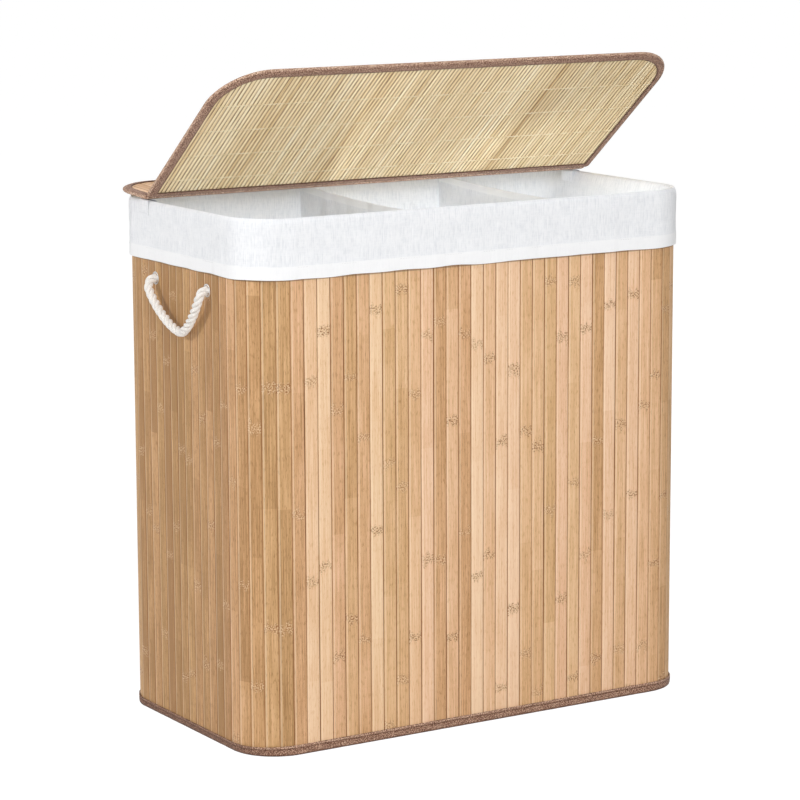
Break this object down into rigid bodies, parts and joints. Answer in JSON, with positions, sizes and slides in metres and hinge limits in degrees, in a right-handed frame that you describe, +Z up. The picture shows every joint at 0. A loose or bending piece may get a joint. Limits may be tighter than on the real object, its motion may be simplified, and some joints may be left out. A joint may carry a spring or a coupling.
{
  "type": "laundry hamper",
  "caption": "Tall rectangular slatted laundry hamper with a cloth liner in compartments, rope handles at the ends and a cloth-hinged two-part lid.",
  "frame": {"origin": "middle of the underside, on the surface that the hamper stands on", "axes": "+Z up, +X to the right along the long front, +Y to the rear, where the fixed part of the lid lies; the lid's flap opens at the front"},
  "size_m": [0.6532, 0.3496, 0.7975],
  "materials": {
    "slats": "satin split slats, clear coated",
    "mat": "fine bare sticks woven on thread",
    "board": "matte",
    "lining": "plain cloth",
    "binding": "heathered woven tape",
    "liner": "white slubbed plain weave",
    "rope": "twisted cotton",
    "metal": "dull plated"
  },
  "bodies": {
    "hamper": {"wall_front": "slats", "wall_rear": "slats", "wall_left": "slats", "wall_right": "slats", "corner_front_left_1": "slats", "corner_front_left_2": "slats", "corner_front_left_3": "slats", "corner_front_left_4": "slats", "corner_front_left_5": "slats", "corner_front_right_1": "slats", "corner_front_right_2": "slats", "corner_front_right_3": "slats", "corner_front_right_4": "slats", "corner_front_right_5": "slats", "corner_rear_left_1": "slats", "corner_rear_left_2": "slats", "corner_rear_left_3": "slats", "corner_rear_left_4": "slats", "corner_rear_left_5": "slats", "corner_rear_right_1": "slats", "corner_rear_right_2": "slats", "corner_rear_right_3": "slats", "corner_rear_right_4": "slats", "corner_rear_right_5": "slats", "wall_lining": "lining", "rim_binding": "binding", "base_binding": "binding", "base_cover": "lining", "base_board": "board", "frame_ring": "metal", "frame_post_front_left": "metal", "frame_post_front_right": "metal", "frame_post_rear_left": "metal", "frame_post_rear_right": "metal", "liner_bag": "liner", "liner_cuff": "liner", "liner_hem": "liner", "liner_divider_left": "liner", "liner_divider_right": "liner", "eyelet_front_left": "metal", "eyelet_front_right": "metal", "eyelet_rear_left": "metal", "eyelet_rear_right": "metal", "rope_end_front_left": "rope", "rope_end_front_right": "rope", "rope_end_rear_left": "rope", "rope_end_rear_right": "rope", "lid_rear_slats": "slats", "lid_rear_core": "board", "lid_rear_mat": "mat", "lid_rear_binding": "binding", "lid_hinge_tape": "binding", "lid_strap_left": "liner", "lid_strap_right": "liner"},
    "lid_flap": {"lid_flap_slats": "slats", "lid_flap_core": "board", "lid_flap_mat": "mat", "lid_flap_binding": "binding"},
    "handle_left": {"handle_rope_left": "rope"},
    "handle_right": {"handle_rope_right": "rope"}
  },
  "joints": [
    {"name": "lid_hinge", "type": "hinge", "parent": "hamper", "child": "lid_flap", "pos_m": [0, 0.071, 0.63855], "axis": [-1, 0, 0], "range_deg": [-38.5, 126.5], "deforming": ["lid_hinge_tape"]},
    {"name": "handle_left_swing", "type": "hinge", "parent": "hamper", "child": "handle_left", "pos_m": [-0.3191, 0, 0.539], "axis": [0, 1, 0], "range_deg": [0, 170]},
    {"name": "handle_right_swing", "type": "hinge", "parent": "hamper", "child": "handle_right", "pos_m": [0.3191, 0, 0.539], "axis": [0, -1, 0], "range_deg": [0, 170]}
  ]
}
